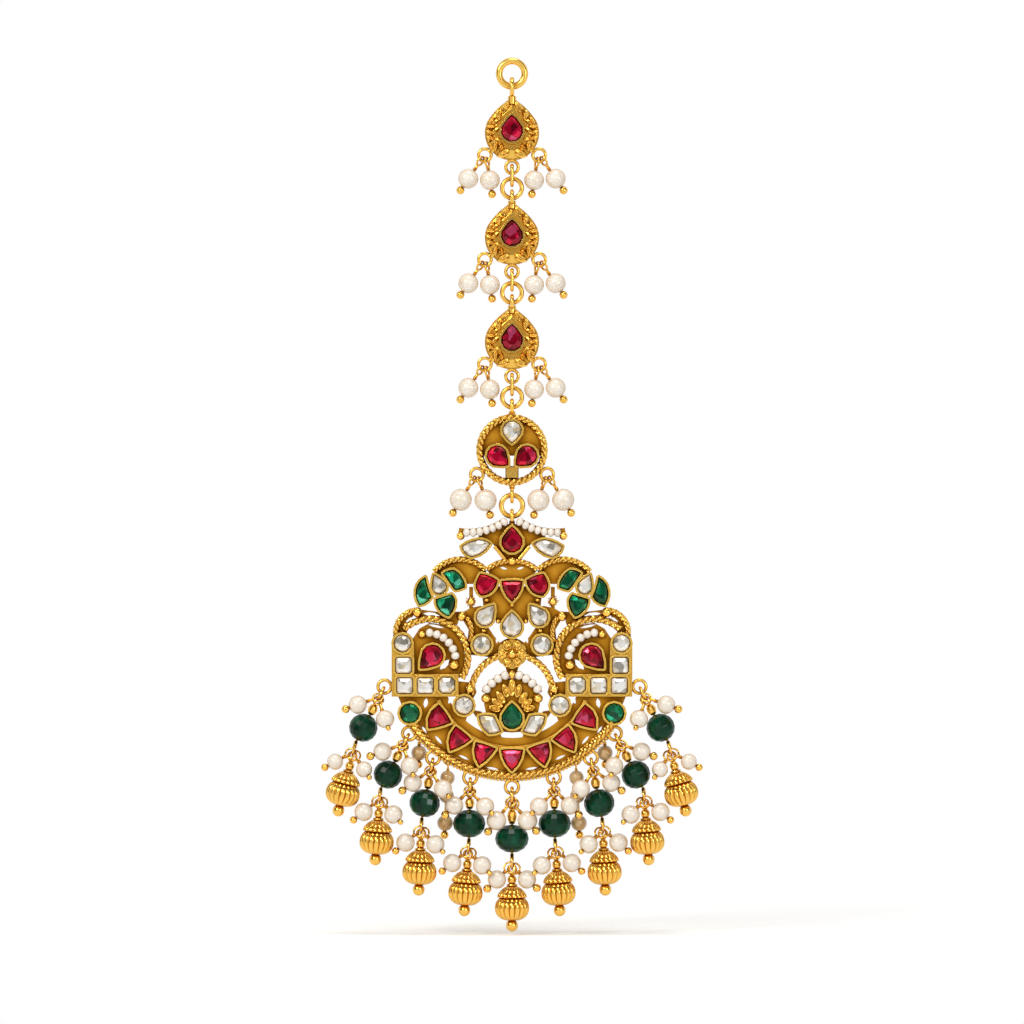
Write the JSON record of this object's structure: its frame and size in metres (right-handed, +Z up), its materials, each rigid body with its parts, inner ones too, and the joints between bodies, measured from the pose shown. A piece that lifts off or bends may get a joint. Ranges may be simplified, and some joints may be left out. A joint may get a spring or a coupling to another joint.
{
  "type": "maang tikka",
  "caption": "Maang tikka forehead jewel: a chain of leaf motifs and a roundel carries a pierced, stone-set pendant fringed with pearls, green beads and gold melon drops.",
  "frame": {"origin": "centre of the top ring, by which the jewel hangs", "axes": "+Z up along the chain, +X to the jewel's left as the wearer has it, -Y out of its front face"},
  "size_m": [0.0668, 0.0087, 0.153],
  "materials": {
    "antique_gold": "satin, darkened in the recesses",
    "polished_gold": "polished",
    "green_glass": "faceted and glossy",
    "ruby_stone": "faceted and glossy",
    "emerald_stone": "faceted and glossy",
    "foiled_crystal": "faceted over silver foil",
    "pearl": "soft pearly lustre"
  },
  "bodies": {
    "chain": {"chain_pearl_pins": "polished_gold", "chain_pearls": "pearl", "leaf_motif_1": "antique_gold", "leaf_motif_2": "antique_gold", "leaf_motif_3": "antique_gold", "motif_ruby_1": "ruby_stone", "motif_ruby_2": "ruby_stone", "motif_ruby_3": "ruby_stone", "oval_link_1": "antique_gold", "oval_link_2": "antique_gold", "oval_link_3": "antique_gold", "round_link_1": "antique_gold", "round_link_2": "antique_gold", "round_link_3": "antique_gold", "round_link_4": "antique_gold", "roundel_crystal": "foiled_crystal", "roundel_frame": "antique_gold", "roundel_rubies": "ruby_stone", "top_ring": "antique_gold"},
    "pendant": {"back_pearl_pins": "polished_gold", "back_pearls": "pearl", "bar_crystals": "foiled_crystal", "bead_pins": "polished_gold", "bloom_crystals": "foiled_crystal", "bloom_emeralds": "emerald_stone", "collar_rubies": "ruby_stone", "crescent_rubies": "ruby_stone", "crown_crystals": "foiled_crystal", "crown_ruby": "ruby_stone", "drop_links": "polished_gold", "emerald_bead_1": "green_glass", "emerald_bead_2": "green_glass", "emerald_bead_3": "green_glass", "emerald_bead_4": "green_glass", "emerald_bead_5": "green_glass", "emerald_bead_6": "green_glass", "emerald_bead_7": "green_glass", "emerald_bead_8": "green_glass", "emerald_bead_9": "green_glass", "gold_bell_1": "polished_gold", "gold_bell_2": "polished_gold", "gold_bell_3": "polished_gold", "gold_bell_4": "polished_gold", "gold_bell_5": "polished_gold", "gold_bell_6": "polished_gold", "gold_bell_7": "polished_gold", "gold_bell_8": "polished_gold", "gold_bell_9": "polished_gold", "leaf_crystals": "foiled_crystal", "lotus_emerald": "emerald_stone", "lower_pearl_pins": "polished_gold", "lower_pearls": "pearl", "pear_crystals": "foiled_crystal", "pendant_frame": "antique_gold", "round_crystals": "foiled_crystal", "round_emeralds": "emerald_stone", "side_rubies": "ruby_stone", "upper_pearl_pins": "polished_gold", "upper_pearls": "pearl"}
  },
  "joints": [
    {"name": "pendant_swing", "type": "hinge", "parent": "chain", "child": "pendant", "pos_m": [0, 0, -0.07747], "axis": [1, 0, 0], "range_deg": [-35, 35]}
  ]
}
